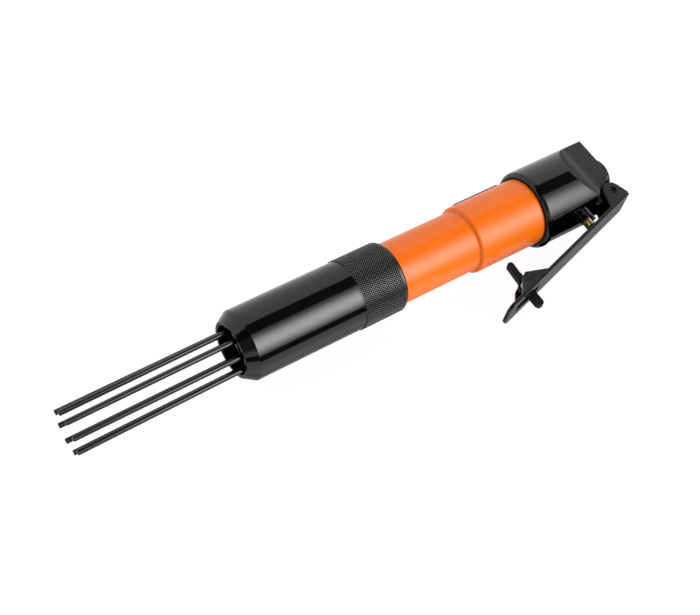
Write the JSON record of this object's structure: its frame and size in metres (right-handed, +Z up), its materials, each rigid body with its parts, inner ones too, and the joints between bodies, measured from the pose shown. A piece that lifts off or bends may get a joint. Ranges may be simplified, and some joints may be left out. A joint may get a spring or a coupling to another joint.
{
  "type": "needle scaler",
  "caption": "Straight pneumatic needle scaler: nozzle with a ring of needles, knurled grip, painted barrel, throttle head with lever, safety catch and air inlet.",
  "frame": {"origin": "centre of the air inlet's mouth", "axes": "+X along the tool's axis, out of the air inlet; +Z up, with the tool lying on a bench and its lever to the side"},
  "size_m": [0.3508, 0.0785, 0.047],
  "materials": {
    "gloss_black": "gloss black enamel on turned metal",
    "orange_paint": "satin metallic orange paint",
    "lever_black": "semi-gloss black paint on pressed steel",
    "needle_steel": "blackened spring steel",
    "bright_steel": "ground steel",
    "dark_steel": "blackened steel",
    "brass": "turned brass",
    "bronze": "sintered bronze",
    "rubber": "black nitrile rubber",
    "felt": "grey felt"
  },
  "bodies": {
    "root": {"front_housing": "gloss_black", "head": "gloss_black", "inlet_bush": "gloss_black", "exhaust_cover": "gloss_black", "barrel": "orange_paint", "needle_spring": "bright_steel", "valve_seat": "bright_steel", "valve_cage": "bright_steel", "valve_dowel": "bright_steel", "valve_spring": "bright_steel", "lever_stop_pin": "bright_steel", "cover_screws": "bright_steel", "valve_plug": "dark_steel", "lever_pin": "dark_steel", "inlet_strainer": "brass", "anvil_bush": "bronze", "housing_o_ring": "rubber", "valve_o_ring": "rubber", "plug_o_ring": "rubber", "exhaust_felt": "felt"},
    "lever": {"lever": "lever_black", "catch_pin": "lever_black", "catch_spring": "bright_steel"},
    "catch": {"safety_catch": "lever_black"},
    "throttle": {"throttle_plunger": "brass", "plunger_o_ring": "rubber", "valve_ball": "bright_steel"},
    "piston": {"piston": "bright_steel"},
    "valve_disc": {"valve_disc": "bright_steel"},
    "anvil": {"anvil": "bright_steel"},
    "needle_holder": {"needle_holder": "bright_steel"},
    "needle_1": {"needle_1": "needle_steel"},
    "needle_2": {"needle_2": "needle_steel"},
    "needle_3": {"needle_3": "needle_steel"},
    "needle_4": {"needle_4": "needle_steel"},
    "needle_5": {"needle_5": "needle_steel"},
    "needle_6": {"needle_6": "needle_steel"},
    "needle_7": {"needle_7": "needle_steel"},
    "needle_8": {"needle_8": "needle_steel"}
  },
  "joints": [
    {"name": "lever_press", "type": "hinge", "parent": "root", "child": "lever", "pos_m": [-0.0075, -0.01615, -0.00463], "axis": [0, 0.2756, -0.9613], "range_deg": [0, 9], "stiffness_Nm_per_rad": 0.4, "springref_deg": -11.46, "deforming": ["valve_spring"]},
    {"name": "catch_swing", "type": "hinge", "parent": "lever", "child": "catch", "pos_m": [-0.09096, -0.04093, -0.01174], "axis": [0, 0.2756, -0.9613], "range_deg": [0, 55], "deforming": ["catch_spring"]},
    {"name": "throttle_slide", "type": "slide", "parent": "root", "child": "throttle", "axis": [0, 0.9613, 0.2756], "range_m": [0, 0.00375]},
    {"name": "piston_slide", "type": "slide", "parent": "root", "child": "piston", "axis": [1, 0, 0], "range_m": [0, 0.05]},
    {"name": "valve_disc_slide", "type": "slide", "parent": "root", "child": "valve_disc", "axis": [1, 0, 0], "range_m": [0, 0.0006]},
    {"name": "anvil_slide", "type": "slide", "parent": "root", "child": "anvil", "axis": [-1, 0, 0], "range_m": [0, 0.0012]},
    {"name": "holder_slide", "type": "slide", "parent": "root", "child": "needle_holder", "axis": [-1, 0, 0], "range_m": [0, 0.006], "stiffness_N_per_m": 2000, "springref_m": -0.005, "deforming": ["needle_spring"]},
    {"name": "needle_1_slide", "type": "slide", "parent": "needle_holder", "child": "needle_1", "axis": [1, 0, 0], "range_m": [0, 0.0012]},
    {"name": "needle_2_slide", "type": "slide", "parent": "needle_holder", "child": "needle_2", "axis": [1, 0, 0], "range_m": [0, 0.0012]},
    {"name": "needle_3_slide", "type": "slide", "parent": "needle_holder", "child": "needle_3", "axis": [1, 0, 0], "range_m": [0, 0.0012]},
    {"name": "needle_4_slide", "type": "slide", "parent": "needle_holder", "child": "needle_4", "axis": [1, 0, 0], "range_m": [0, 0.0012]},
    {"name": "needle_5_slide", "type": "slide", "parent": "needle_holder", "child": "needle_5", "axis": [1, 0, 0], "range_m": [0, 0.0012]},
    {"name": "needle_6_slide", "type": "slide", "parent": "needle_holder", "child": "needle_6", "axis": [1, 0, 0], "range_m": [0, 0.0012]},
    {"name": "needle_7_slide", "type": "slide", "parent": "needle_holder", "child": "needle_7", "axis": [1, 0, 0], "range_m": [0, 0.0012]},
    {"name": "needle_8_slide", "type": "slide", "parent": "needle_holder", "child": "needle_8", "axis": [1, 0, 0], "range_m": [0, 0.0012]}
  ],
  "couplings": [
    {"joint": "throttle_slide", "follows": "lever_press", "m_per_rad": 0.0238},
    {"joint": "catch_swing", "follows": "lever_press", "ratio": 6.1}
  ]
}
